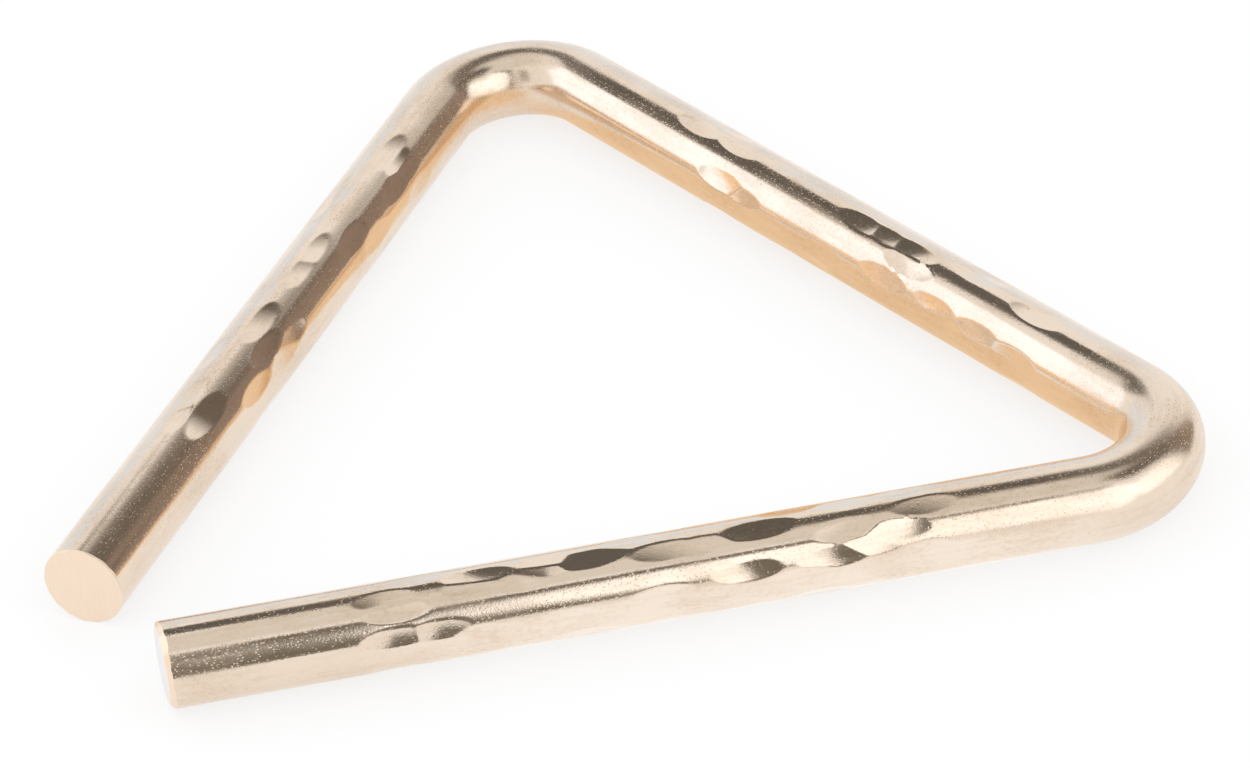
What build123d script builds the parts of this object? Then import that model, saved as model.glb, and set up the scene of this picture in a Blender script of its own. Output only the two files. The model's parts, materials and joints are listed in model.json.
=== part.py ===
"""A hand-hammered bronze triangle: one round bar, bent twice, with its three straight legs hammered.

Sizes are in millimetres. The bar lies flat with +Z up. Its closed leg runs along X at the back, and
the open corner, where the two free ends stop short of each other, points to -Y. The origin is under
the middle of the bar's bounding box, on the surface that it lies on.

The bar is one piece of metal, so it is one solid. Its three legs and two bends are made one by one in
the order in which they follow each other along the bar, from the right leg's free end to the left
leg's, and are then joined.
"""

from build123d import *

import os
from math import cos, pi, radians, sin, tan

# The bar and its outline
bar_diameter = 12.7
corner_pitch = 181.0  # between the two bent corners, where the centreline's straight runs would meet
corner_angle = 60.0  # degrees, between the closed leg and each open leg
left_bend_inside_radius = 8.4
right_bend_inside_radius = 7.5
left_end_gap = 24.0  # from the open corner back to the left leg's free end, along its centreline
right_end_gap = 22.0  # the same for the right leg
end_chamfer = 0.55

# The hammer's domed face, and how deep its heaviest blow sinks
hammer_dome_radius = 47.0
heaviest_blow_depth = 0.36
blow_overrun = 0.14  # how far the cut for the heaviest blow stands out of the bar

# Where the blows fell on each leg, in the order in which the bar runs. Each blow gives its place along
# the leg's straight run, its place round the bar from the top, as a share of a full turn that is
# positive towards the outside of the triangle, and its depth as a share of the heaviest blow's.
right_blow_shares = (
    # the top and the outside
    (0.820, 0.050, 0.75), (0.785, 0.130, 0.85), (0.757, 0.162, 0.60), (0.735, 0.097, 0.80),
    (0.716, 0.184, 0.80), (0.644, 0.025, 0.95), (0.624, 0.180, 0.75), (0.580, 0.058, 0.75),
    (0.543, 0.050, 0.80), (0.463, 0.022, 0.90), (0.415, 0.042, 0.60), (0.422, -0.003, 0.60),
    (0.345, 0.006, 0.80), (0.332, 0.056, 0.50), (0.392, 0.070, 0.45), (0.245, 0.045, 0.65),
    (0.255, 0.100, 0.75), (0.296, 0.195, 0.75), (0.250, 0.195, 0.75),
    (0.535, 0.217, 0.65), (0.500, 0.250, 0.50), (0.430, 0.240, 0.50), (0.340, 0.240, 0.50),
    (0.815, 0.217, 0.50), (0.690, 0.240, 0.50), (0.790, 0.295, 0.60), (0.600, 0.315, 0.65),
    (0.320, 0.305, 0.60), (0.450, 0.345, 0.70), (0.700, 0.360, 0.65), (0.250, 0.385, 0.55),
    # the inside and the underside
    (0.805, -0.042, 0.70), (0.680, -0.060, 0.60), (0.740, -0.033, 0.50), (0.510, -0.033, 0.50),
    (0.280, -0.042, 0.60), (0.750, -0.140, 0.70), (0.650, -0.165, 0.65), (0.550, -0.125, 0.75),
    (0.450, -0.195, 0.70), (0.350, -0.140, 0.80), (0.275, -0.180, 0.60), (0.700, -0.250, 0.60),
    (0.580, -0.275, 0.70), (0.400, -0.290, 0.65), (0.800, -0.305, 0.55), (0.500, -0.360, 0.75),
    (0.300, -0.335, 0.60), (0.640, -0.400, 0.70), (0.420, -0.440, 0.60), (0.760, 0.470, 0.65),
    (0.550, 0.445, 0.75), (0.360, 0.460, 0.65),
)
closed_blow_shares = (
    # the top and the inside
    (0.760, -0.011, 0.85), (0.684, -0.008, 0.70), (0.674, -0.170, 1.00), (0.632, -0.190, 0.65),
    (0.445, -0.028, 0.90), (0.400, -0.025, 0.80), (0.358, -0.025, 0.90), (0.345, -0.095, 0.90),
    (0.375, -0.182, 0.85), (0.285, -0.177, 0.65), (0.210, -0.186, 0.65), (0.150, -0.203, 0.70),
    (0.155, -0.008, 0.85), (0.265, -0.220, 0.60), (0.300, -0.258, 0.60), (0.153, -0.250, 0.60),
    (0.587, -0.245, 0.60), (0.500, -0.311, 0.50), (0.444, -0.289, 0.50), (0.380, -0.267, 0.50),
    (0.478, -0.228, 0.50), (0.553, 0.033, 0.60), (0.605, 0.022, 0.50), (0.265, 0.022, 0.60),
    (0.255, 0.064, 0.60), (0.715, 0.070, 0.50), (0.690, -0.375, 0.60), (0.560, -0.385, 0.65),
    (0.240, -0.390, 0.60), (0.150, -0.355, 0.55),
    # the outside and the underside
    (0.780, 0.165, 0.60), (0.700, 0.210, 0.65), (0.620, 0.160, 0.70), (0.540, 0.222, 0.65),
    (0.460, 0.172, 0.75), (0.400, 0.264, 0.60), (0.320, 0.194, 0.70), (0.220, 0.167, 0.60),
    (0.150, 0.236, 0.60), (0.660, 0.306, 0.60), (0.500, 0.333, 0.70), (0.360, 0.361, 0.65),
    (0.260, 0.306, 0.60), (0.740, 0.389, 0.60), (0.580, 0.417, 0.65), (0.430, 0.444, 0.70),
    (0.300, 0.458, 0.60), (0.180, 0.389, 0.60), (0.700, -0.444, 0.60), (0.520, -0.458, 0.65),
    (0.380, -0.417, 0.60),
)
left_blow_shares = (
    # the top and the inside
    (0.165, -0.239, 0.60), (0.292, -0.214, 0.70), (0.213, -0.147, 0.70), (0.175, -0.142, 0.50),
    (0.332, -0.133, 0.75), (0.172, -0.092, 0.50), (0.163, -0.036, 0.90), (0.385, -0.033, 0.70),
    (0.430, -0.039, 0.65), (0.540, -0.036, 0.90), (0.527, -0.175, 0.70), (0.553, -0.200, 0.75),
    (0.575, -0.122, 0.75), (0.630, -0.189, 0.75), (0.720, -0.089, 1.00), (0.692, 0.014, 0.60),
    (0.735, 0.000, 0.50), (0.715, -0.233, 0.50), (0.255, 0.028, 0.70), (0.283, 0.083, 0.70),
    (0.485, 0.039, 0.60), (0.610, 0.067, 0.60), (0.455, -0.306, 0.50), (0.500, -0.272, 0.50),
    (0.270, -0.294, 0.50), (0.350, -0.361, 0.65), (0.500, -0.403, 0.70), (0.610, -0.347, 0.65),
    (0.220, -0.417, 0.60),
    # the outside and the underside
    (0.200, 0.208, 0.60), (0.340, 0.167, 0.70), (0.420, 0.236, 0.65), (0.520, 0.172, 0.75),
    (0.585, 0.264, 0.60), (0.680, 0.194, 0.70), (0.250, 0.306, 0.65), (0.380, 0.347, 0.70),
    (0.470, 0.389, 0.60), (0.620, 0.361, 0.70), (0.700, 0.319, 0.60), (0.180, 0.417, 0.60),
    (0.300, 0.458, 0.70), (0.550, 0.472, 0.65), (0.660, -0.458, 0.60), (0.400, -0.472, 0.65),
)

# What follows from the sizes above
full_turn = 360
bar_radius = bar_diameter / 2
bend_turn = full_turn / 2 - corner_angle
left_bend_radius = left_bend_inside_radius + bar_radius
right_bend_radius = right_bend_inside_radius + bar_radius
left_setback = left_bend_radius * tan(radians(bend_turn / 2))  # from a corner to where its bend begins
right_setback = right_bend_radius * tan(radians(bend_turn / 2))
open_leg_line = corner_pitch / (2 * cos(radians(corner_angle)))  # from a bent corner to the open one
right_run = open_leg_line - right_setback - right_end_gap
closed_run = corner_pitch - right_setback - left_setback
left_run = open_leg_line - left_setback - left_end_gap
right_corner = Vector(corner_pitch / 2, 0)
left_corner = Vector(-corner_pitch / 2, 0)
right_direction = Vector(cos(radians(corner_angle)), sin(radians(corner_angle)))  # the way the bar runs
closed_direction = Vector(-1, 0)
left_direction = Vector(cos(radians(corner_angle)), -sin(radians(corner_angle)))
up = Vector(0, 0, 1)


def make_hammer_face():
    """The part of the hammer's dome that can sink in, its lowest point at the origin, facing -Z."""
    height = heaviest_blow_depth + blow_overrun
    dome = Pos(0, 0, hammer_dome_radius) * Sphere(hammer_dome_radius)
    return dome & Cylinder(hammer_dome_radius, height, align=(Align.CENTER, Align.CENTER, Align.MIN))


def place_blow(hammer_face, run, along_share, turn_share, depth_share):
    """The hammer's face sunk into a leg of length run that lies along +Z with its top at +X."""
    floor = bar_radius - heaviest_blow_depth * depth_share
    side = Pos(0, 0, run * along_share) * Rot(0, 0, full_turn * turn_share)
    return side * Pos(floor, 0, 0) * Rot(0, full_turn / 4, 0) * hammer_face


def make_leg(run, blow_shares, free_end=None):
    """A hammered leg along +Z, its top at +X and the outside of the triangle at +Y.

    free_end picks the end that is cut square and chamfered: 0 for the first, -1 for the last.
    """
    leg = Cylinder(bar_radius, run, align=(Align.CENTER, Align.CENTER, Align.MIN))
    if free_end is not None:
        leg = chamfer(leg.edges().filter_by(GeomType.CIRCLE).sort_by(Axis.Z)[free_end], end_chamfer)
    hammer_face = make_hammer_face()
    return leg - [place_blow(hammer_face, run, *shares) for shares in blow_shares]


def make_bend(radius, centre_x, start_angle):
    """A bend whose centre is beside the closed leg, from start_angle, in degrees from +X, onwards."""
    section = Plane.XZ * Pos(radius, 0) * Circle(bar_radius)
    return Pos(centre_x, -radius) * Rot(0, 0, start_angle) * revolve(section, Axis.Z, bend_turn)


def make_bar():
    """The whole bar, leg by leg and bend by bend, moved to its place above the origin."""
    right_start = right_corner - right_direction * (right_setback + right_run)
    closed_start = right_corner + closed_direction * right_setback
    left_start = left_corner + left_direction * left_setback
    right_leg = make_leg(right_run, right_blow_shares, free_end=0)
    closed_leg = make_leg(closed_run, closed_blow_shares)
    left_leg = make_leg(left_run, left_blow_shares, free_end=-1)
    bar = Plane(right_start, up, right_direction) * right_leg
    bar += make_bend(right_bend_radius, right_corner.X - right_setback, full_turn / 4 - bend_turn)
    bar += Plane(closed_start, up, closed_direction) * closed_leg
    bar += make_bend(left_bend_radius, left_corner.X + left_setback, full_turn / 4)
    bar += Plane(left_start, up, left_direction) * left_leg
    box = bar.bounding_box()
    return Pos(-box.center().X, -box.center().Y, -box.min.Z) * bar


def main():
    os.makedirs("parts", exist_ok=True)
    bar = make_bar()
    bends = (right_bend_radius + left_bend_radius) * radians(bend_turn)
    bar_length = right_run + closed_run + left_run + bends
    print("bar length", round(bar_length, 1), "plain volume", round(pi * bar_radius**2 * bar_length))
    print("solids", len(bar.solids()), "volume", round(bar.volume), "box", bar.bounding_box().size)
    export_step(bar, "parts/triangle_bar.step")


main()
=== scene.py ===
# %% [markdown]
# # A hand-hammered bronze triangle
#
# The instrument is a single round bronze bar. It is bent twice, its third corner is left open, and its
# three legs are hammered cold, which leaves them covered in shallow, mirror-smooth dents.
# The lesson loads the bar's frame, models the bar over it, sinks the hammer's blows, saws and files the
# ends, gives the metal its finish, and sets up a small studio. Sizes are in metres, in the frame's own
# coordinates.

import json
from math import cos, pi, radians, sin

import bpy
import numpy as np
from mathutils import Matrix, Vector


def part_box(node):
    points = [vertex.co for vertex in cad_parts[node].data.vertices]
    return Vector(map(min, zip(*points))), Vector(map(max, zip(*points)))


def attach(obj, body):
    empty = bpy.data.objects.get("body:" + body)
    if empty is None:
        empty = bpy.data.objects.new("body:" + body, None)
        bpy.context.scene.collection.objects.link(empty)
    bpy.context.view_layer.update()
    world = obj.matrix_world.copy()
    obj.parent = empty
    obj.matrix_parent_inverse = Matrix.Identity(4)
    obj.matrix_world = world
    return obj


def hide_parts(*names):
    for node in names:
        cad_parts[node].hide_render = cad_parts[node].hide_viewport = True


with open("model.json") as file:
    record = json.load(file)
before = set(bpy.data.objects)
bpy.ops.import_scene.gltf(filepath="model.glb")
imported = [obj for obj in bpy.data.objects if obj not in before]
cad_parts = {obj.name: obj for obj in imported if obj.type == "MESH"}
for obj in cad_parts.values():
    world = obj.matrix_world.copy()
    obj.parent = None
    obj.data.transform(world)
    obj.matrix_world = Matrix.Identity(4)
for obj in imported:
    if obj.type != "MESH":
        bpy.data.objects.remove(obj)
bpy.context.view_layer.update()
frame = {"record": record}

# %% [markdown]
# ## The bar's line
#
# A bent bar is best described by its centreline: straight leg, bend, straight leg, bend, straight leg.
# The height of the frame's box is the bar's thickness, and its sides say where the two bends lie. The
# only sizes that can't be read off the box are the two inside radii of the bends and the end chamfer.
# The legs' lengths come from the record, which lists both open legs as places to clip something on.

# %% Work out the centreline
MM = 0.001
UP = Vector((0, 0, 1))
left_bend_inside_radius = 8.4 * MM
right_bend_inside_radius = 7.5 * MM
end_chamfer = 0.55 * MM
bend_turn = radians(120)

low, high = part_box("triangle_bar")
mounts = {mount["name"]: mount for mount in frame["record"]["mounts"]}
bar_radius = (high.z - low.z) / 2
left_bend_radius = left_bend_inside_radius + bar_radius
right_bend_radius = right_bend_inside_radius + bar_radius
axis_height = low.z + bar_radius
just_outside = bar_radius * 1.01  # a little past the bar's wall, to tell its points from all others
right_bend_centre = Vector((
    high.x - bar_radius - right_bend_radius, high.y - bar_radius - right_bend_radius, axis_height))
left_bend_centre = Vector((
    low.x + bar_radius + left_bend_radius, high.y - bar_radius - left_bend_radius, axis_height))

right_direction = -Vector(mounts["right_leg"]["axis"]).normalized()
closed_direction = Vector((-1, 0, 0))
left_direction = Vector(mounts["left_leg"]["axis"]).normalized()
right_run = mounts["right_leg"]["dims"]["length_mm"] * MM + end_chamfer
left_run = mounts["left_leg"]["dims"]["length_mm"] * MM + end_chamfer


def beside(bend_centre, bend_radius, direction):
    """Where a leg that runs along direction meets a bend: on the bend's outer side, square to the leg."""
    return bend_centre + direction.cross(UP) * bend_radius


closed_start = beside(right_bend_centre, right_bend_radius, closed_direction)
closed_run = (beside(left_bend_centre, left_bend_radius, closed_direction) - closed_start).length
right_start = beside(right_bend_centre, right_bend_radius, right_direction) - right_direction * right_run
left_start = beside(left_bend_centre, left_bend_radius, left_direction)
right_bend_length = right_bend_radius * bend_turn
left_bend_length = left_bend_radius * bend_turn
print("legs", [round(run / MM, 2) for run in (right_run, closed_run, left_run)], "mm")

# %% [markdown]
# ## Where the blows fell
#
# A hammer with a domed face leaves a long, narrow, leaf-shaped dent in a round bar. Each blow is three
# shares: how far along the leg it fell, how far round the bar from the top (positive towards the outside
# of the triangle), and how hard it was. The frame's own solid has the same blows, so they are listed in
# the same order here: the bar runs from the right leg's free end to the left leg's free end.

# %% List the blows
hammer_dome_radius = 47.0 * MM
heaviest_blow_depth = 0.36 * MM

right_blow_shares = (
    # the top and the outside
    (0.820, 0.050, 0.75), (0.785, 0.130, 0.85), (0.757, 0.162, 0.60), (0.735, 0.097, 0.80),
    (0.716, 0.184, 0.80), (0.644, 0.025, 0.95), (0.624, 0.180, 0.75), (0.580, 0.058, 0.75),
    (0.543, 0.050, 0.80), (0.463, 0.022, 0.90), (0.415, 0.042, 0.60), (0.422, -0.003, 0.60),
    (0.345, 0.006, 0.80), (0.332, 0.056, 0.50), (0.392, 0.070, 0.45), (0.245, 0.045, 0.65),
    (0.255, 0.100, 0.75), (0.296, 0.195, 0.75), (0.250, 0.195, 0.75),
    (0.535, 0.217, 0.65), (0.500, 0.250, 0.50), (0.430, 0.240, 0.50), (0.340, 0.240, 0.50),
    (0.815, 0.217, 0.50), (0.690, 0.240, 0.50), (0.790, 0.295, 0.60), (0.600, 0.315, 0.65),
    (0.320, 0.305, 0.60), (0.450, 0.345, 0.70), (0.700, 0.360, 0.65), (0.250, 0.385, 0.55),
    # the inside and the underside
    (0.805, -0.042, 0.70), (0.680, -0.060, 0.60), (0.740, -0.033, 0.50), (0.510, -0.033, 0.50),
    (0.280, -0.042, 0.60), (0.750, -0.140, 0.70), (0.650, -0.165, 0.65), (0.550, -0.125, 0.75),
    (0.450, -0.195, 0.70), (0.350, -0.140, 0.80), (0.275, -0.180, 0.60), (0.700, -0.250, 0.60),
    (0.580, -0.275, 0.70), (0.400, -0.290, 0.65), (0.800, -0.305, 0.55), (0.500, -0.360, 0.75),
    (0.300, -0.335, 0.60), (0.640, -0.400, 0.70), (0.420, -0.440, 0.60), (0.760, 0.470, 0.65),
    (0.550, 0.445, 0.75), (0.360, 0.460, 0.65),
)
closed_blow_shares = (
    # the top and the inside
    (0.760, -0.011, 0.85), (0.684, -0.008, 0.70), (0.674, -0.170, 1.00), (0.632, -0.190, 0.65),
    (0.445, -0.028, 0.90), (0.400, -0.025, 0.80), (0.358, -0.025, 0.90), (0.345, -0.095, 0.90),
    (0.375, -0.182, 0.85), (0.285, -0.177, 0.65), (0.210, -0.186, 0.65), (0.150, -0.203, 0.70),
    (0.155, -0.008, 0.85), (0.265, -0.220, 0.60), (0.300, -0.258, 0.60), (0.153, -0.250, 0.60),
    (0.587, -0.245, 0.60), (0.500, -0.311, 0.50), (0.444, -0.289, 0.50), (0.380, -0.267, 0.50),
    (0.478, -0.228, 0.50), (0.553, 0.033, 0.60), (0.605, 0.022, 0.50), (0.265, 0.022, 0.60),
    (0.255, 0.064, 0.60), (0.715, 0.070, 0.50), (0.690, -0.375, 0.60), (0.560, -0.385, 0.65),
    (0.240, -0.390, 0.60), (0.150, -0.355, 0.55),
    # the outside and the underside
    (0.780, 0.165, 0.60), (0.700, 0.210, 0.65), (0.620, 0.160, 0.70), (0.540, 0.222, 0.65),
    (0.460, 0.172, 0.75), (0.400, 0.264, 0.60), (0.320, 0.194, 0.70), (0.220, 0.167, 0.60),
    (0.150, 0.236, 0.60), (0.660, 0.306, 0.60), (0.500, 0.333, 0.70), (0.360, 0.361, 0.65),
    (0.260, 0.306, 0.60), (0.740, 0.389, 0.60), (0.580, 0.417, 0.65), (0.430, 0.444, 0.70),
    (0.300, 0.458, 0.60), (0.180, 0.389, 0.60), (0.700, -0.444, 0.60), (0.520, -0.458, 0.65),
    (0.380, -0.417, 0.60),
)
left_blow_shares = (
    # the top and the inside
    (0.165, -0.239, 0.60), (0.292, -0.214, 0.70), (0.213, -0.147, 0.70), (0.175, -0.142, 0.50),
    (0.332, -0.133, 0.75), (0.172, -0.092, 0.50), (0.163, -0.036, 0.90), (0.385, -0.033, 0.70),
    (0.430, -0.039, 0.65), (0.540, -0.036, 0.90), (0.527, -0.175, 0.70), (0.553, -0.200, 0.75),
    (0.575, -0.122, 0.75), (0.630, -0.189, 0.75), (0.720, -0.089, 1.00), (0.692, 0.014, 0.60),
    (0.735, 0.000, 0.50), (0.715, -0.233, 0.50), (0.255, 0.028, 0.70), (0.283, 0.083, 0.70),
    (0.485, 0.039, 0.60), (0.610, 0.067, 0.60), (0.455, -0.306, 0.50), (0.500, -0.272, 0.50),
    (0.270, -0.294, 0.50), (0.350, -0.361, 0.65), (0.500, -0.403, 0.70), (0.610, -0.347, 0.65),
    (0.220, -0.417, 0.60),
    # the outside and the underside
    (0.200, 0.208, 0.60), (0.340, 0.167, 0.70), (0.420, 0.236, 0.65), (0.520, 0.172, 0.75),
    (0.585, 0.264, 0.60), (0.680, 0.194, 0.70), (0.250, 0.306, 0.65), (0.380, 0.347, 0.70),
    (0.470, 0.389, 0.60), (0.620, 0.361, 0.70), (0.700, 0.319, 0.60), (0.180, 0.417, 0.60),
    (0.300, 0.458, 0.70), (0.550, 0.472, 0.65), (0.660, -0.458, 0.60), (0.400, -0.472, 0.65),
)

# Each leg: where it starts, the way it runs, its length, the length of bar before it, and its blows
right_before = 0
closed_before = right_run + right_bend_length
left_before = closed_before + closed_run + left_bend_length
legs = (
    (right_start, right_direction, right_run, right_before, right_blow_shares),
    (closed_start, closed_direction, closed_run, closed_before, closed_blow_shares),
    (left_start, left_direction, left_run, left_before, left_blow_shares),
)
print("blows", [len(leg[-1]) for leg in legs])

# %% [markdown]
# ## Drawing out the bar
#
# A bar could be made from a curve with a round bevel, but then its rings would be spread evenly, and the
# hammered stretches need far more of them than the plain ones. So the bar is drawn out as a smith would:
# a filled circle at the right leg's free end is extruded along each leg and spun round each bend. Each
# leg is extruded in five stretches, a plain one, three hammered ones and a plain one, that are divided
# up in the next step. With no window open, spin turns the other way round, so its axis points down.

# %% Draw out the bar
sides = 128
bend_rings = 40
hammered_parts = 3
dent_half_length = (2 * hammer_dome_radius * heaviest_blow_depth) ** 0.5


def hammered_stretch(run, blow_shares):
    """The first and last place along a leg that a blow can reach."""
    places = [along_share * run for along_share, turn_share, depth_share in blow_shares]
    return min(places) - dent_half_length, max(places) + dent_half_length


def draw_leg(direction, run, blow_shares):
    """Extrude the selected end face along a leg: plain, hammered in parts, plain."""
    first, last = hammered_stretch(run, blow_shares)
    part = (last - first) / hammered_parts
    for length in (first, *[part] * hammered_parts, run - last):
        bpy.ops.mesh.extrude_region_move(TRANSFORM_OT_translate={"value": direction * length})


def draw_bend(bend_centre):
    """Spin the selected end face round a bend."""
    bpy.ops.mesh.spin(steps=bend_rings, angle=bend_turn, center=bend_centre, axis=-UP)


bpy.ops.object.select_all(action="DESELECT")
facing = right_direction.to_track_quat("Z", "Y").to_euler()
bpy.ops.mesh.primitive_circle_add(
    vertices=sides, radius=bar_radius, fill_type="NGON", location=right_start, rotation=facing)
bar = bpy.context.object
bar.name = "hammered_bar"
bpy.ops.object.transform_apply(location=True, rotation=True, scale=True)
bpy.ops.object.mode_set(mode="EDIT")
bpy.ops.mesh.select_all(action="SELECT")
draw_leg(right_direction, right_run, right_blow_shares)
draw_bend(right_bend_centre)
draw_leg(closed_direction, closed_run, closed_blow_shares)
draw_bend(left_bend_centre)
draw_leg(left_direction, left_run, left_blow_shares)
bpy.ops.object.mode_set(mode="OBJECT")
left_end = left_start + left_direction * left_run
drawn_end = sum((v.co for v in bar.data.vertices if v.select), Vector()) / sides
end_error = (drawn_end - left_end).length
print("rings", len(bar.data.vertices) // sides, "end off by", round(end_error / MM, 4), "mm")

# %% [markdown]
# ## Filing the ends and dividing the stretches
#
# A sawn bar has sharp edges, so its maker files them off. The rim of each end is beveled, and then each
# long edge along the legs is subdivided: finely where the hammer fell, coarsely where the bar is plain.
# A loop cut would do the same, but it needs a window. Edges are picked in code, by place and length.

# %% Bevel the ends and subdivide the legs
hammered_cuts = 66
plain_cuts = 9
rim_step = 2 * bar_radius * sin(pi / sides)
shortest_leg_edge = 4 * MM
hammered_edge_lengths = []
for start, direction, run, before, blow_shares in legs:
    first, last = hammered_stretch(run, blow_shares)
    hammered_edge_lengths.append((last - first) / hammered_parts)


def select_edges(wanted):
    """Select the edges of the bar for which wanted(edge's first end, second end) is true."""
    bpy.ops.object.mode_set(mode="EDIT")
    bpy.ops.mesh.select_mode(type="EDGE")
    bpy.ops.mesh.select_all(action="DESELECT")
    bpy.ops.object.mode_set(mode="OBJECT")
    mesh = bar.data
    for edge in mesh.edges:
        a, b = (mesh.vertices[index].co for index in edge.vertices)
        edge.select = wanted(a, b)
    bpy.ops.object.mode_set(mode="EDIT")


def on_end_rim(a, b):
    """Whether an edge is part of the rim of a free end."""
    middle = (a + b) / 2
    at_right = abs((middle - right_start).dot(right_direction)) < end_chamfer / 2
    at_left = abs((middle - left_end).dot(left_direction)) < end_chamfer / 2
    near = min((middle - right_start).length, (middle - left_end).length) < just_outside
    return near and (at_right or at_left)


def is_hammered_edge(a, b):
    """Whether an edge runs along one of the hammered stretches."""
    return any(abs((b - a).length - length) < rim_step / 20 for length in hammered_edge_lengths)


def is_plain_edge(a, b):
    """Whether an edge runs along one of the plain stretches, which are still in one piece."""
    return (b - a).length > shortest_leg_edge


select_edges(is_hammered_edge)
bpy.ops.mesh.subdivide(number_cuts=hammered_cuts)
select_edges(is_plain_edge)
bpy.ops.mesh.subdivide(number_cuts=plain_cuts)
select_edges(on_end_rim)
bpy.ops.mesh.bevel(offset=end_chamfer, offset_type="OFFSET", segments=1, affect="EDGES")
bpy.ops.mesh.select_all(action="SELECT")
bpy.ops.mesh.remove_doubles(threshold=rim_step / 100)
bpy.ops.mesh.normals_make_consistent(inside=False)
bpy.ops.object.mode_set(mode="OBJECT")
triangles = sum(len(face.vertices) - 2 for face in bar.data.polygons)
print("vertices", len(bar.data.vertices), "triangles", triangles)

# %% [markdown]
# ## Places on the straight bar
#
# Both the hammer's blows and the marks in the metal follow the bar, not the room. So each point is given
# its place on the bar as it was before bending: two coordinates across it and one along it. They are
# worked out from the five stretches of the centreline and kept in an attribute that the materials read.

# %% Find each point's place on the straight bar
points = np.empty(len(bar.data.vertices) * 3)
bar.data.vertices.foreach_get("co", points)
points = points.reshape(-1, 3)
along_bar = np.full(len(points), np.nan)
turn_round = np.zeros(len(points))
leg_of = np.full(len(points), -1)
end_slack = 0.001 * MM

for number, (start, direction, run, before, blow_shares) in enumerate(legs):
    offset = points - np.array(start)
    along = offset @ np.array(direction)
    outward = offset @ np.array(direction.cross(UP))
    upward = offset @ np.array(UP)
    between_its_ends = (along > -end_slack) & (along < run + end_slack)
    on_leg = between_its_ends & (np.hypot(outward, upward) < just_outside)
    along_bar[on_leg] = before + along[on_leg]
    turn_round[on_leg] = np.arctan2(outward, upward)[on_leg]
    leg_of[on_leg] = number

bends = (
    (right_bend_centre, right_bend_radius, right_direction, right_run),
    (left_bend_centre, left_bend_radius, closed_direction, closed_before + closed_run),
)
for centre, radius, direction, before in bends:
    offset = points - np.array(centre)
    first_way = np.array(direction.cross(UP))
    forward = offset @ np.array(direction)
    outward = offset @ first_way
    angle = np.arctan2(forward, outward)
    from_centre = np.hypot(forward, outward)
    on_bend = (leg_of < 0) & (from_centre < radius + just_outside) & np.isnan(along_bar)
    along_bar[on_bend] = before + radius * angle[on_bend]
    turn_round[on_bend] = np.arctan2(from_centre - radius, offset @ np.array(UP))[on_bend]

bar_length = left_before + left_run
print("points off the bar's line", int(np.isnan(along_bar).sum()))
print("bar length", round(bar_length / MM, 1), "mm")

# %% [markdown]
# ## Sinking the blows
#
# A Boolean with a ball for each blow would cut the dents, but it leaves knife-edged rims and slivers in
# the mesh. A dent is a simple shape, so the points are moved instead, as with a sculpting brush: each is
# drawn in towards the bar's axis until it lies on the hammer's dome. A soft minimum joins dent and bar,
# so the rims are worn round by a few hundredths of a millimetre, as on polished metal.

# %% Sink the blows
rim_wear = 0.02 * MM
shallowest_dent = 0.01 * MM


def soft_minimum(a, b, blend):
    """The lower of a and b, with the corner between them rounded over the depth of blend."""
    share = np.clip(0.5 + 0.5 * (b - a) / blend, 0, 1)
    return b + (a - b) * share - blend * share * (1 - share)


def dome_over(along, turn, run, blow):
    """How far from the bar's axis the hammer's dome lies over each point, for one blow."""
    along_share, turn_share, depth_share = blow
    dome_centre = bar_radius - heaviest_blow_depth * depth_share + hammer_dome_radius
    off_turn = turn - 2 * pi * turn_share
    off_along = along - run * along_share
    under = hammer_dome_radius**2 - (dome_centre * np.sin(off_turn))**2 - off_along**2
    reached = (under > 0) & (np.cos(off_turn) > 0)
    dome = dome_centre * np.cos(off_turn) - np.sqrt(np.maximum(under, 0))
    return np.where(reached, dome, 2 * bar_radius)


depth_sunk = np.zeros(len(points))
for number, (start, direction, run, before, blow_shares) in enumerate(legs):
    along = along_bar - before
    clear_of_ends = (along > 2 * end_chamfer) & (along < run - 2 * end_chamfer)
    on_leg = (leg_of == number) & clear_of_ends
    along = along[on_leg]
    turn = turn_round[on_leg]
    surface = np.full(on_leg.sum(), bar_radius)
    for blow in blow_shares:
        surface = soft_minimum(surface, dome_over(along, turn, run, blow), rim_wear)
    depth_sunk[on_leg] = bar_radius - surface
    out_of_bar = np.outer(np.cos(turn), np.array(UP)) + np.outer(np.sin(turn), np.array(direction.cross(UP)))
    points[on_leg] -= out_of_bar * depth_sunk[on_leg, None]

bar.data.vertices.foreach_set("co", points.ravel())
bar.data.update()
dented_share = (depth_sunk > shallowest_dent).mean()
print("deepest blow", round(depth_sunk.max() / MM, 3), "mm, dented", round(dented_share, 2))

# %% [markdown]
# ## Sawing and filing the ends
#
# The edge of a sawn end is filed off by hand, a stroke at a time, so it is a ring of small flats and not
# a true cone. Each flat is given as its place round the bar, as a share of a turn, and its size against
# the even chamfer. A point of the chamfer lies on whichever flat cuts deepest there, so the points of the
# bevel are moved along the bar on its wall, and towards the middle on its end face.
# The saw was not held square either. Each cut is given as how far in it meets the bar's axis, and by how
# many degrees it leans back towards the top and towards the outside. A bisect would make the same cut but
# take the chamfer off with it, so the last stretch of the bar is sheared along its own axis instead, which
# leaves its wall round.

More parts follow.
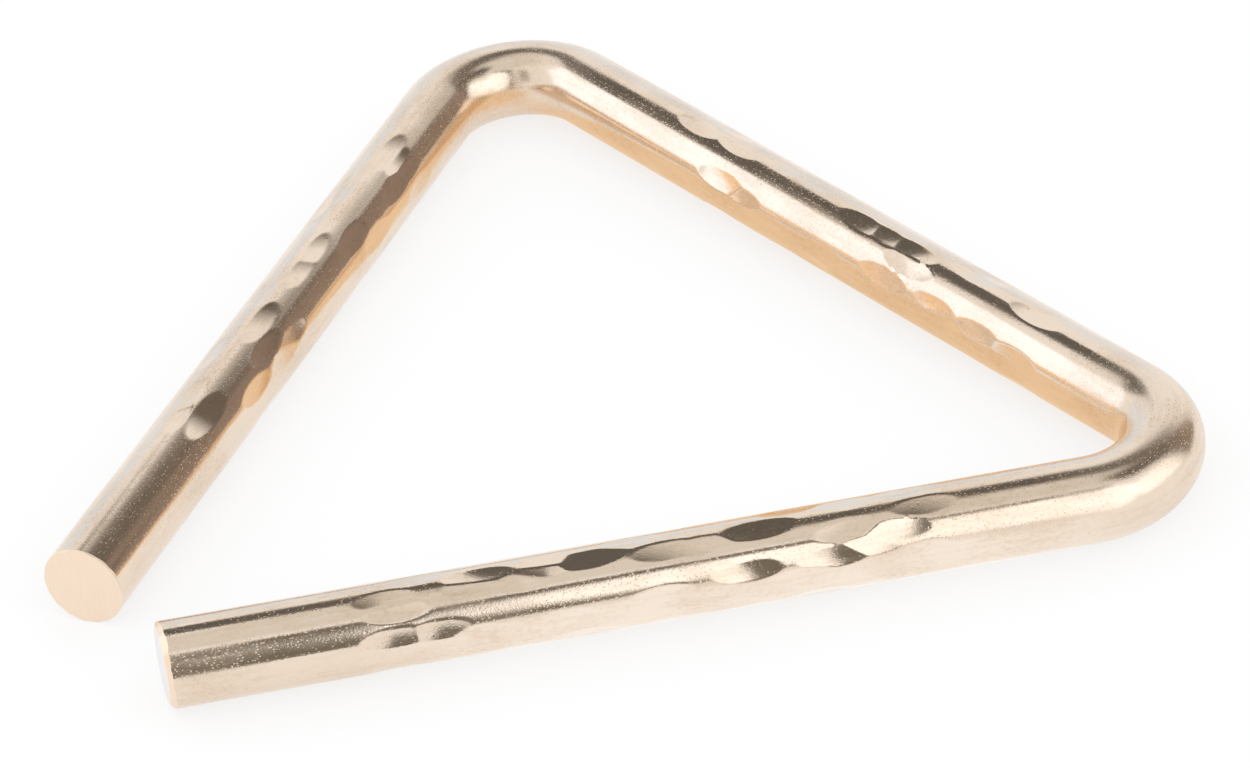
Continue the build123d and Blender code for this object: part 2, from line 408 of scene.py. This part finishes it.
# %% Saw and file the ends
least_flat = 0.10 * MM
sheared_length = 12 * MM
right_flat_shares = (
    (0.00, 1.45), (0.06, 1.75), (0.13, 1.50), (0.19, 1.40), (0.26, 1.55), (0.33, 1.65), (0.40, 1.45),
    (0.47, 1.30), (0.53, 1.40), (0.60, 1.30), (0.67, 1.20), (0.74, 1.05), (0.81, 0.90), (0.87, 0.85),
    (0.94, 1.05),
)
left_flat_shares = (
    (0.00, 0.36), (0.06, 0.42), (0.11, 0.36), (0.17, 0.38), (0.22, 0.34), (0.28, 0.38), (0.33, 0.36),
    (0.39, 0.38), (0.44, 0.36), (0.50, 0.34), (0.56, 0.38), (0.61, 0.36), (0.67, 0.38), (0.72, 0.40),
    (0.78, 0.46), (0.83, 0.52), (0.89, 0.48), (0.94, 0.40),
)
ends = (
    (right_start, right_direction, right_flat_shares, 0.77 * MM, 4.2, 7.1),
    (left_end, -left_direction, left_flat_shares, 0.78 * MM, 4.1, -1.2),
)


def file_flats(turn, flat_shares):
    """How far the flats reach along the bar's wall, and how far out the end face reaches, at each turn."""
    reach = np.full(len(turn), least_flat)
    face_radius = np.full(len(turn), bar_radius - least_flat)
    for turn_share, size_share in flat_shares:
        facing = np.cos(turn - 2 * pi * turn_share)
        size = end_chamfer * size_share
        reach = np.maximum(reach, size - bar_radius * (1 - facing))
        flat_line = (bar_radius - size) / np.maximum(facing, 0.5)
        face_radius = np.where(facing > 0.5, np.minimum(face_radius, flat_line), face_radius)
    return reach, face_radius


filed = np.zeros(len(points), bool)
for end_centre, inward, flat_shares, cut_at, lean_up, lean_out in ends:
    offset = points - np.array(end_centre)
    from_end = offset @ np.array(inward)
    across = offset - np.outer(from_end, np.array(inward))
    from_axis = np.linalg.norm(across, axis=1)
    in_line = from_axis < just_outside
    near = in_line & (from_end < end_chamfer * 1.1)
    on_wall = near & (from_end > end_chamfer / 2)
    on_face = near & (from_end < end_chamfer / 2)
    reach, face_radius = file_flats(turn_round, flat_shares)
    points[on_wall] += np.outer((reach - from_end)[on_wall], np.array(inward))
    stretch = face_radius / np.maximum(from_axis, least_flat) - 1
    points[on_face] += across[on_face] * stretch[on_face, None]
    filed |= near
    lean = np.cos(turn_round) * np.tan(radians(lean_up)) + np.sin(turn_round) * np.tan(radians(lean_out))
    from_axis[on_face] = face_radius[on_face]
    share = np.clip(1 - from_end / sheared_length, 0, 1) * in_line
    points += np.outer((cut_at + from_axis * lean) * share, np.array(inward))
bar.data.vertices.foreach_set("co", points.ravel())
bar.data.update()
print("filed points", int(filed.sum()))

# %% [markdown]
# ## What the materials need to know
#
# Three things are kept at each point for the materials: its place on the straight bar, how far the hammer
# went in there, and how close it is to a bend. The filed ends are flat and the rims of the dents are
# round, so only faces that meet at less than the smooth angle are shaded as one surface.

# %% Keep the places, the dents and the bends
full_dent = 0.05 * MM
bend_fade = 8 * MM
smooth_angle = radians(22)
up_share, out_share = np.cos(turn_round), np.sin(turn_round)
on_straight_bar = np.column_stack((bar_radius * up_share, bar_radius * out_share, along_bar))
bent_share = np.zeros(len(points))
for first, last in ((right_run, closed_before), (closed_before + closed_run, left_before)):
    into_bend = np.minimum(along_bar - first, last - along_bar)
    bent_share = np.maximum(bent_share, np.clip(into_bend / bend_fade + 1, 0, 1))
straight_place = bar.data.attributes.new("straight_place", "FLOAT_VECTOR", "POINT")
straight_place.data.foreach_set("vector", on_straight_bar.ravel())
dented = bar.data.attributes.new("dented", "FLOAT", "POINT")
dented.data.foreach_set("value", np.clip(depth_sunk / full_dent, 0, 1))
bent = bar.data.attributes.new("bent", "FLOAT", "POINT")
bent.data.foreach_set("value", bent_share)
bpy.ops.object.select_all(action="DESELECT")
bar.select_set(True)
bpy.context.view_layer.objects.active = bar
bpy.ops.object.shade_smooth_by_angle(angle=smooth_angle)
print("kept", [kept.name for kept in (straight_place, dented, bent)])

# %% [markdown]
# ## Helpers for nodes
#
# A material is a tree of nodes. A few short helpers keep the steps below readable: they add a node and
# fill its inputs, calculate, multiply, map a value from one range to another, make noise whose patches
# have a given size in metres and can be drawn out along the bar, and mix two colours.

# %% Write the node helpers


def add_node(tree, kind, inputs=None, **settings):
    """Add a node, set its properties, and fill its inputs with values or links from other sockets."""
    node = tree.nodes.new(kind)
    for name, value in settings.items():
        setattr(node, name, value)
    for name, value in (inputs or {}).items():
        if isinstance(value, bpy.types.NodeSocket):
            tree.links.new(value, node.inputs[name])
        else:
            node.inputs[name].default_value = value
    return node


def calculate(tree, operation, first, second=0.0):
    """The result of a Math node."""
    return add_node(tree, "ShaderNodeMath", {0: first, 1: second}, operation=operation).outputs[0]


def multiply(tree, first, second):
    """One value times another."""
    return calculate(tree, "MULTIPLY", first, second)


def remap(tree, value, low, high, new_low=0.0, new_high=1.0):
    """A value taken from the range low to high into another range, and held inside it."""
    limits = {"Value": value, "From Min": low, "From Max": high, "To Min": new_low, "To Max": new_high}
    return add_node(tree, "ShaderNodeMapRange", limits).outputs[0]


def add_noise(tree, place, patch, drawn_out=1.0, detail=2.0):
    """Noise whose patches have a size in metres, and are drawn out along the bar."""
    scale = (1 / patch, 1 / patch, 1 / patch / drawn_out)
    scaled = add_node(tree, "ShaderNodeVectorMath", {0: place, 1: scale}, operation="MULTIPLY").outputs[0]
    noise = {"Vector": scaled, "Scale": 1.0, "Detail": detail}
    return add_node(tree, "ShaderNodeTexNoise", noise).outputs[0]


def mix_colours(tree, share, first, second):
    """A colour between two others."""
    return add_node(tree, "ShaderNodeMix", {0: share, 6: first, 7: second}, data_type="RGBA").outputs[2]


helpers = (add_node, calculate, multiply, remap, add_noise, mix_colours)
print("helpers", [helper.__name__ for helper in helpers])

# %% [markdown]
# ## Grains and scratches
#
# Grit and pits are small round spots that are scattered over the bar. Voronoi noise gives both: it divides
# space into cells with a grain in each, says how far each place is from its grain, and gives each grain a
# colour of its own, which serves as a chance. Scratches are thin lines that cross the bar at a slant. Noise
# that is drawn out passes through its middle value along thin lines, so these are picked out, and a second
# noise lets them show in a few patches only.

# %% Write the helpers for grains and scratches
scratch_spacing = 1.1 * MM
scratch_drawn_out = 18


def scatter_grains(group, place, spacing):
    """Voronoi cells of a spacing in metres: how far each place is from its grain, and a chance per grain."""
    cells = add_node(group, "ShaderNodeTexVoronoi", {"Vector": place, "Scale": 1 / spacing})
    chance = add_node(group, "ShaderNodeSeparateColor", {"Color": cells.outputs["Color"]}).outputs[0]
    return cells.outputs["Distance"], chance


def add_scratches(group, place, turn, patch):
    """A mask of fine lines that cross the bar at a turn, in patches."""
    turned = add_node(
        group, "ShaderNodeVectorRotate", {"Vector": place, "Angle": turn}, rotation_type="X_AXIS").outputs[0]
    lines = add_noise(group, turned, scratch_spacing, scratch_drawn_out, 0)
    off_line = calculate(group, "ABSOLUTE", calculate(group, "SUBTRACT", lines, 0.5))
    where = remap(group, add_noise(group, turned, patch, 2, 1), 0.68, 0.71)
    return multiply(group, remap(group, off_line, 0.003, 0.012, 1, 0), where)


print("mark helpers", scatter_grains.__name__, add_scratches.__name__)

# %% [markdown]
# ## Marks in the bronze
#
# Bronze that is cast, drawn, hammered and only lightly polished keeps a fine grain, like orange peel, and
# streaks that run along the bar. Unpolished grit glints as golden specks in the dark bands. Small pits
# and short scratches are scattered over it, and brown stains stay where fingers and polish were. The
# hammer presses the grain flat, so the dents are smoother. All this could be painted on an image, but
# noise needs no image and follows the bar by its own coordinates. The marks go into a node group, which
# keeps the material short: it puts out a height for the bump and three masks.

# %% Make the group of marks
cloud_patch = 9 * MM
wave_patch = 0.28 * MM
grit_spacing = 0.30 * MM
grit_squeeze = (1, 1, 0.6)
pit_spacing = 2.2 * MM
scratch_sets = ((0.5, 4 * MM), (-0.8, 3 * MM))  # each set's turn against the bar, and its patches' size
streak_patch = 0.9 * MM
dot_patch = 0.55 * MM


def make_marks():
    """A node group with the height of grain, pits and scratches, and masks for stains, flecks and specks."""
    group = bpy.data.node_groups.new("bronze_marks", "ShaderNodeTree")
    group.interface.new_socket("Place", in_out="INPUT", socket_type="NodeSocketVector")
    group.interface.new_socket("Grain", in_out="INPUT", socket_type="NodeSocketFloat")
    for name in ("Height", "Stain", "Fleck", "Speck"):
        group.interface.new_socket(name, in_out="OUTPUT", socket_type="NodeSocketFloat")
    given = add_node(group, "NodeGroupInput").outputs
    place, grain = given["Place"], given["Grain"]

    # Grain and grit, thicker in some clouds than in others
    cloud = add_noise(group, place, cloud_patch, 1.5, 3)
    thick = remap(group, cloud, 0.35, 0.6, 0.4, 1.0)
    wave = multiply(group, calculate(group, "SUBTRACT", add_noise(group, place, wave_patch), 0.5), 0.5)
    squeeze = {0: place, 1: grit_squeeze}
    squeezed = add_node(group, "ShaderNodeVectorMath", squeeze, operation="MULTIPLY").outputs[0]
    off_grain, stands = scatter_grains(group, squeezed, grit_spacing)
    grit = multiply(group, multiply(group, remap(group, off_grain, 0.0, 0.4, 1, 0), stands), thick)
    speck = multiply(group, remap(group, off_grain, 0.16, 0.40, 1, 0), remap(group, stands, 0.25, 0.85))
    speck = multiply(group, multiply(group, speck, thick), grain)
    height = multiply(group, calculate(group, "ADD", wave, grit), grain)

    # Pits and scratches
    off_pit, chance = scatter_grains(group, place, pit_spacing)
    pit = multiply(group, remap(group, off_pit, 0.05, 0.12, 1, 0), remap(group, chance, 0.5, 0.55))
    height = calculate(group, "SUBTRACT", height, multiply(group, pit, 0.5))
    for turn, patch in scratch_sets:
        scratch = add_scratches(group, place, turn, patch)
        height = calculate(group, "SUBTRACT", height, multiply(group, scratch, 0.25))

    # Stains and flecks
    streak = multiply(group, add_noise(group, place, streak_patch, 9, 3), 0.7)
    stain = remap(group, calculate(group, "ADD", cloud, streak), 0.74, 1.08)
    dots = remap(group, add_noise(group, place, dot_patch, 1.6, 2), 0.50, 0.64)
    fleck = multiply(group, dots, remap(group, cloud, 0.35, 0.65))
    fleck = calculate(group, "MAXIMUM", fleck, pit)
    add_node(group, "NodeGroupOutput", {"Height": height, "Stain": stain, "Fleck": fleck, "Speck": speck})
    return group


marks = make_marks()
print("marks", [item.name for item in marks.interface.items_tree])

# %% [markdown]
# ## Polished bronze
#
# Bell bronze is a pale gold with a little pink in it. As a metal it has no colour but that of its mirror
# image, so its base colour tints what it reflects. A roughness near 0.1 is a polish with a little haze.
# The bends were heated and bent and can't be buffed as well as the legs, so they are satin. The stains,
# flecks and specks of the group change the colour, and most of them dull the polish too.

# %% Make the polished bronze
bronze_colour = (0.845, 0.71, 0.58, 1)
stain_colour = (0.70, 0.54, 0.40, 1)
speck_colour = (0.82, 0.64, 0.44, 1)
grain_depth = 0.012 * MM
stain_strength, fleck_strength, speck_strength = 0.45, 0.55, 0.7
best_polish = 0.06
bend_haze, stain_haze, grain_haze, speck_haze = 0.08, 0.08, 0.04, 0.34
dent_smoothing = 0.5


def new_material(name):
    """A metal material, its node tree and its shader."""
    material = bpy.data.materials.new(name)
    material.use_nodes = True
    shader = material.node_tree.nodes["Principled BSDF"]
    shader.inputs["Metallic"].default_value = 1
    return material, material.node_tree, shader


def read_kept(tree, name, output):
    """What the bar's points carry under a name."""
    return add_node(tree, "ShaderNodeAttribute", attribute_name=name).outputs[output]


def make_polished_bronze():
    """Hammered and polished bronze, for the bar's wall."""
    material, tree, shader = new_material("polished_bronze")
    smoothed = multiply(tree, read_kept(tree, "dented", "Fac"), dent_smoothing)
    grain = calculate(tree, "SUBTRACT", 1.0, smoothed)
    place = read_kept(tree, "straight_place", "Vector")
    marked = add_node(tree, "ShaderNodeGroup", node_tree=marks)
    tree.links.new(place, marked.inputs["Place"])
    tree.links.new(grain, marked.inputs["Grain"])
    stain, fleck, speck = (marked.outputs[name] for name in ("Stain", "Fleck", "Speck"))

    colour = mix_colours(tree, multiply(tree, stain, stain_strength), bronze_colour, stain_colour)
    colour = mix_colours(tree, multiply(tree, fleck, fleck_strength), colour, stain_colour)
    colour = mix_colours(tree, multiply(tree, speck, speck_strength), colour, speck_colour)
    tree.links.new(colour, shader.inputs["Base Color"])

    haze = multiply(tree, read_kept(tree, "bent", "Fac"), bend_haze)
    for mask, strength in ((stain, stain_haze), (grain, grain_haze), (speck, speck_haze)):
        haze = calculate(tree, "ADD", haze, multiply(tree, mask, strength))
    tree.links.new(calculate(tree, "ADD", haze, best_polish), shader.inputs["Roughness"])

    bump = add_node(tree, "ShaderNodeBump", {"Distance": grain_depth, "Height": marked.outputs["Height"]})
    tree.links.new(bump.outputs[0], shader.inputs["Normal"])
    return material


bar.data.materials.append(make_polished_bronze())
print("polished faces", len(bar.data.polygons))

# %% [markdown]
# ## Filed bronze
#
# The two ends are filed and not polished after, so they are a paler, rougher, satin surface with file
# strokes that cross the face. Seen at a flat angle any metal mirrors the room almost white, so a painted
# reflection pales the base colour there. The filed faces are those whose points the filing step touched.

# %% Make the filed bronze
filed_colour = (0.945, 0.77, 0.61, 1)
# The colour of the painted reflection that pales the filed faces at flat angles
painted_flat_angle_reflection = (0.90, 0.87, 0.87, 1)
stroke_depth = 0.004 * MM
stroke_spacing = 0.25 * MM
stroke_drawn_out = 14
stroke_strength = 0.08
pale_from, pale_to = 0.70, 0.88  # how far a face is turned away, where it begins and ends to pale
least_rough, most_rough = 0.30, 0.42


def make_filed_bronze():
    """Freshly filed bronze, for the two ends."""
    material, tree, shader = new_material("filed_bronze")
    place = add_node(tree, "ShaderNodeTexCoord").outputs["Object"]
    strokes = add_noise(tree, place, stroke_spacing, stroke_drawn_out, 2)
    shade = remap(tree, strokes, 0.3, 0.7)
    colour = mix_colours(tree, multiply(tree, shade, stroke_strength), filed_colour, stain_colour)
    # Painted reflection: the base colour pales towards white where a face turns away from the viewer
    facing = add_node(tree, "ShaderNodeLayerWeight", {"Blend": 0.5}).outputs["Facing"]
    colour = mix_colours(tree, remap(tree, facing, pale_from, pale_to), colour, painted_flat_angle_reflection)
    tree.links.new(colour, shader.inputs["Base Color"])
    tree.links.new(remap(tree, shade, 0, 1, least_rough, most_rough), shader.inputs["Roughness"])
    bump = add_node(tree, "ShaderNodeBump", {"Distance": stroke_depth, "Height": strokes})
    tree.links.new(bump.outputs[0], shader.inputs["Normal"])
    return material


bar.data.materials.append(make_filed_bronze())
filed_faces = [face for face in bar.data.polygons if all(filed[index] for index in face.vertices)]
for face in filed_faces:
    face.material_index = 1
print("filed faces", len(filed_faces))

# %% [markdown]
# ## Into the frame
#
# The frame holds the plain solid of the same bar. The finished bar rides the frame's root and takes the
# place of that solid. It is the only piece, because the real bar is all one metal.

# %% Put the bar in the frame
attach(bar, "root")
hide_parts("triangle_bar")
print("bar in the frame:", bar.name)

# %% [markdown]
# ## The camera
#
# The camera looks down on the bar from the front right, with the closed leg at the back. Its place is
# given as a direction and a distance from the point it aims at, and it is rolled a little to the left.
# A long lens from over half a metre away keeps the legs from spreading towards the viewer.

# %% Place the camera
camera_aim = Vector((-0.8, 23.06, 0)) * MM
camera_distance = 619.4 * MM
camera_azimuth = 124.48
camera_elevation = 35.55
camera_roll = radians(-7.34)
sensor_width = 36  # Blender gives a sensor and a lens in millimetres
lens_length = 115.19


def towards(azimuth, elevation):
    """The direction at an azimuth, in degrees from +Y towards +X, and an elevation in degrees."""
    turn = radians(azimuth)
    rise = radians(elevation)
    return Vector((sin(turn) * cos(rise), cos(turn) * cos(rise), sin(rise)))


scene = bpy.context.scene
camera = bpy.data.objects.new("camera", bpy.data.cameras.new("camera"))
scene.collection.objects.link(camera)
camera.data.sensor_width = sensor_width
camera.data.lens = lens_length
camera_back = towards(camera_azimuth, camera_elevation)
facing = camera_back.to_track_quat("Z", "Y").to_matrix() @ Matrix.Rotation(camera_roll, 3, "Z")
camera.matrix_world = Matrix.Translation(camera_aim + camera_back * camera_distance) @ facing.to_4x4()
scene.camera = camera
print("camera at", [round(value, 4) for value in camera.matrix_world.translation])

# %% [markdown]
# ## The studio: floor and sky
#
# A mirror-like object needs a bright, even room, so the sky is plain white. The floor is white paper.
# Part of its brightness is its own glow for the rays that are seen directly or in the metal, so that it
# reads as white, and the rest is lit paper, so that the bar keeps a soft shadow.

# %% Lay the floor and light the sky
floor_size = 12
glow_share = 0.7
glow_strength = 1.03
paper_colour = (0.9, 0.9, 0.9, 1)
white = (1, 1, 1, 1)

scene.view_settings.view_transform = "Standard"
bpy.ops.mesh.primitive_plane_add(size=floor_size, location=(0, 0, low.z))
floor = bpy.context.object
floor.name = "studio_floor"


def make_paper():
    """White paper that glows a little where it is seen."""
    material = bpy.data.materials.new("studio_paper")
    material.use_nodes = True
    tree = material.node_tree
    tree.nodes.clear()
    rays = add_node(tree, "ShaderNodeLightPath").outputs
    seen = calculate(tree, "MAXIMUM", rays["Is Camera Ray"], rays["Is Glossy Ray"])
    seen = calculate(tree, "MAXIMUM", seen, rays["Is Transmission Ray"])
    lit = add_node(tree, "ShaderNodeBsdfDiffuse", {"Color": paper_colour})
    glow = add_node(tree, "ShaderNodeEmission", {"Color": white, "Strength": glow_strength})
    share = multiply(tree, seen, glow_share)
    surface = add_node(tree, "ShaderNodeMixShader", {0: share, 1: lit.outputs[0], 2: glow.outputs[0]})
    add_node(tree, "ShaderNodeOutputMaterial", {"Surface": surface.outputs[0]})
    return material


def make_sky():
    """A plain white world."""
    world = bpy.data.worlds.new("studio_sky")
    world.use_nodes = True
    sky = world.node_tree.nodes["Background"].inputs
    sky["Color"].default_value = white
    sky["Strength"].default_value = 1.0
    return world


floor.data.materials.append(make_paper())
scene.world = make_sky()
print("floor", floor_size, "m across")

# %% [markdown]
# ## The studio: softboxes
#
# Softboxes give the long white lights along the legs and on the bends. A lamp's place is a direction from
# the bar, and its size is an angle as seen from there, because that is what its mirror image in the metal
# depends on. A little blue in the light makes up for the yellow of the bronze, so its highlights are white.

# %% Hang the softboxes
lamp_distance = 3.0
softbox_brightness = 0.46
cool_light = (0.75, 0.95, 1.25)
plain_light = (0.90, 0.95, 1.02)


def hang_softbox(name, azimuth, elevation, width, height, shape, colour):
    """A soft area lamp that faces the bar. Its width and height are in degrees."""
    lamp = bpy.data.lights.new(name, "AREA")
    lamp.shape = shape
    lamp.color = colour
    lamp.size = lamp_distance * radians(width)
    lamp.size_y = lamp_distance * radians(height)
    area = lamp.size * lamp.size_y * (pi / 4 if shape == "ELLIPSE" else 1)
    lamp.energy = softbox_brightness * pi * area
    holder = bpy.data.objects.new(name, lamp)
    holder.location = towards(azimuth, elevation) * lamp_distance
    holder.rotation_euler = towards(azimuth, elevation).to_track_quat("Z", "Y").to_euler()
    holder.visible_camera = False
    scene.collection.objects.link(holder)
    return holder


softboxes = (
    hang_softbox("west_softbox", -129, 26.5, 34, 41, "RECTANGLE", cool_light),
    hang_softbox("east_softbox", 96, 30, 46, 62, "ELLIPSE", plain_light),
    hang_softbox("north_east_softbox", 52, 25, 44, 34, "RECTANGLE", plain_light),
)
print("softboxes", [softbox.name for softbox in softboxes])

# %% [markdown]
# ## The studio: cards
#
# Polished metal in an all-white room looks like paper. Photographers hang dark cards, called flags, out
# of the picture, and their mirror images draw the dark bands that make metal look like metal. A card is a
# sheet of an even brightness that is seen by the metal only: not by the camera, and it takes no light
# from the floor. Two attributes at its points say how much it covers there, so that it can fade out at
# its edges, and how far it is from its first shade to its second.

# %% Write the card helpers


def make_card_material(name, low_shade, high_shade):
    """A card of an even brightness that runs from one shade to another and fades out at its edges."""
    material = bpy.data.materials.new(name)
    material.use_nodes = True
    tree = material.node_tree
    tree.nodes.clear()
    cover = add_node(tree, "ShaderNodeAttribute", attribute_name="cover").outputs["Fac"]
    rise = add_node(tree, "ShaderNodeAttribute", attribute_name="rise").outputs["Fac"]
    shade = mix_colours(tree, rise, (*low_shade, 1), (*high_shade, 1))
    card = add_node(tree, "ShaderNodeEmission", {"Color": shade})
    clear = add_node(tree, "ShaderNodeBsdfTransparent")
    surface = add_node(tree, "ShaderNodeMixShader", {0: cover, 1: clear.outputs[0], 2: card.outputs[0]})
    add_node(tree, "ShaderNodeOutputMaterial", {"Surface": surface.outputs[0]})
    return material


def add_card(name, places, covers, rises, across, material):
    """A card from rows of points, each with its cover and its rise, that only the metal sees."""
    rows = len(places) // across
    corners = [row * across + column for row in range(rows - 1) for column in range(across - 1)]
    faces = [(corner, corner + 1, corner + across + 1, corner + across) for corner in corners]
    mesh = bpy.data.meshes.new(name)
    mesh.from_pydata(places, [], faces)
    mesh.attributes.new("cover", "FLOAT", "POINT").data.foreach_set("value", covers)
    mesh.attributes.new("rise", "FLOAT", "POINT").data.foreach_set("value", rises)
    mesh.materials.append(material)
    card = bpy.data.objects.new(name, mesh)
    scene.collection.objects.link(card)
    card.visible_camera = False
    card.visible_diffuse = False
    card.visible_shadow = False
    return card


print("card helpers", make_card_material.__name__, add_card.__name__)

# %% [markdown]
# ## The studio: flags
#
# A flag is a strip of a sphere round the bar. It is listed from west to east: at each azimuth it has a low
# and a high edge, in degrees. Each flag has a distance of its own, because two sheets in the same place
# would be mistaken for one. Not all of them are dark: the gold strip warms the foot of the closed leg's
# white light, the cool card gives the sky in the west a little blue, and the ceiling dims it overhead.

# %% Hang the flags
flag_rows = 24
flag_step = 3.0


def hang_flag(name, distance, fade, low_shade, columns, high_shade=None):
    """A flag through columns of azimuth, low edge and high edge, that fades out over some degrees."""
    azimuths, lows, highs = (np.array(values, float) for values in zip(*columns))
    west, east = azimuths[0], azimuths[-1]
    fade_ends = (west + fade, east - fade)
    stops = np.unique(np.concatenate((np.arange(west, east, flag_step), azimuths, fade_ends)))
    places, covers, rises = [], [], []
    for stop in stops:
        bottom = np.interp(stop, azimuths, lows)
        top = np.interp(stop, azimuths, highs)
        full = float(west + fade <= stop <= east - fade)
        for elevation in (bottom, *np.linspace(bottom + fade, top - fade, flag_rows - 2), top):
            places.append(towards(stop, elevation) * distance)
            covers.append(0.0 if elevation in (bottom, top) else full)
            rises.append((elevation - lows.min()) / (highs.max() - lows.min()))
    material = make_card_material(name, low_shade, high_shade or low_shade)
    return add_card(name, places, covers, rises, flag_rows, material)


flags = (
    hang_flag("high_west_flag", 3.2, 1.5, (0.14, 0.13, 0.12), (
        (-108, 38.5, 47), (-98, 38, 51.5), (-90, 36.5, 55), (-75, 36.5, 60), (-68, 38, 65), (-62, 39.4, 66),
        (-58, 42, 67), (-54, 45.5, 68), (-50, 47.5, 69), (-44, 50.5, 70), (-36, 51, 71), (-24, 51, 71))),
    hang_flag("high_north_flag", 3.4, 10, (0.17, 0.15, 0.13), (
        (-66, 47, 75), (-52, 45, 77), (-44, 42.5, 78), (-36, 41, 78), (-24, 38.5, 78), (-12, 33.5, 74),
        (-3, 29, 70), (6, 27, 70), (26, 27, 70))),
    hang_flag("north_east_flag", 3.5, 6, (0.10, 0.08, 0.065), (
        (12, 22, 75), (17, 14, 75), (19, 8, 75), (21, 3, 75), (24, 14, 75), (28, 44, 75), (40, 48, 75),
        (64, 52, 75))),
    hang_flag("north_flag", 3.6, 6, (0.36, 0.285, 0.235), (
        (-9, -5, 60), (9, -4, 60), (13, -9, 60), (18, -8, 60), (27, -7, 60)), (0.22, 0.175, 0.15)),
    hang_flag("south_flag", 3.8, 2.5, (0.17, 0.155, 0.13), (
        (78, 56, 64), (105, 55, 64), (111, 52.5, 64), (115, 50, 63), (118, 45, 62), (119.5, 37, 62),
        (120.5, 1.5, 61), (123, -1, 61), (131, -1, 61))),
    hang_flag("south_card", 4.1, 6, (0.42, 0.38, 0.34), ((138, 18, 58), (166, 18, 58))),
    hang_flag("low_south_flag", 3.7, 2, (0.19, 0.175, 0.145), (
        (112, 4, 9), (116, 4, 13), (118.5, 2, 22), (121, -3, 35), (126, -3, 40))),
    hang_flag("gold_strip", 3.9, 1.5, (1.12, 0.78, 0.46), ((-152, -2, 7.5), (-118, -2, 7.5))),
    hang_flag("cool_card", 4.2, 8, (0.90, 0.98, 1.08), ((-100, -10, 32), (-70, -10, 30), (-25, -10, 26))),
    hang_flag("ceiling", 4.0, 3, (0.81, 0.80, 0.77), ((-180, 66, 90), (180, 66, 90))),
)
print("flags", [flag.name for flag in flags])

# %% [markdown]
# ## The studio: cards on the floor
#
# The lower half of each leg mirrors the floor. Inside the triangle the floor is warm, because the bronze
# throws golden light on it, so a gold card lies there along the closed leg. A pale card outside the right
# leg brightens its foot. Each starts under its leg, so that no gap shows between the leg and the card.

# %% Lay the cards on the floor
gold_shade = (0.95, 0.745, 0.53)
gold_fade, gold_depth = 0.05, 52 * MM
pale_shade = (1.10, 1.13, 1.17)
pale_fade, pale_depth = 0.2, 70 * MM
pale_start_share, pale_end_share = 0.2, 1.1  # along the right leg
card_lift = 0.3 * MM


def lay_card(name, shade, fade, corners):
    """A card on the floor through four corners. It fades out at all its sides but the first."""
    shares = (0, fade, 1 - fade, 1)
    places, covers = [], []
    for deep, deep_cover in zip(shares, (1, 1, 1, 0)):
        first = corners[0].lerp(corners[3], deep)
        last = corners[1].lerp(corners[2], deep)
        for wide, wide_cover in zip(shares, (0, 1, 1, 0)):
            place = first.lerp(last, wide)
            places.append((place.x, place.y, low.z + card_lift))
            covers.append(float(deep_cover * wide_cover))
    material = make_card_material(name, shade, shade)
    return add_card(name, places, covers, [0.0] * len(places), len(shares), material)


under_bar = bar_radius / 3
right_outside = right_direction.cross(UP)
gold_west = Vector((left_bend_centre.x - bar_radius * 2, closed_start.y - under_bar, 0))
gold_east = Vector((right_bend_centre.x + bar_radius, closed_start.y - under_bar, 0))
pale_start = right_start + right_direction * right_run * pale_start_share + right_outside * under_bar
pale_end = right_start + right_direction * right_run * pale_end_share + right_outside * under_bar
cards = (
    lay_card("gold_card", gold_shade, gold_fade, (
        gold_west, gold_east,
        gold_east - right_direction * gold_depth, gold_west + left_direction * gold_depth)),
    lay_card("pale_card", pale_shade, pale_fade, (
        pale_start, pale_end,
        pale_end + right_outside * pale_depth, pale_start + right_outside * pale_depth)),
)
print("cards", [card.name for card in cards])
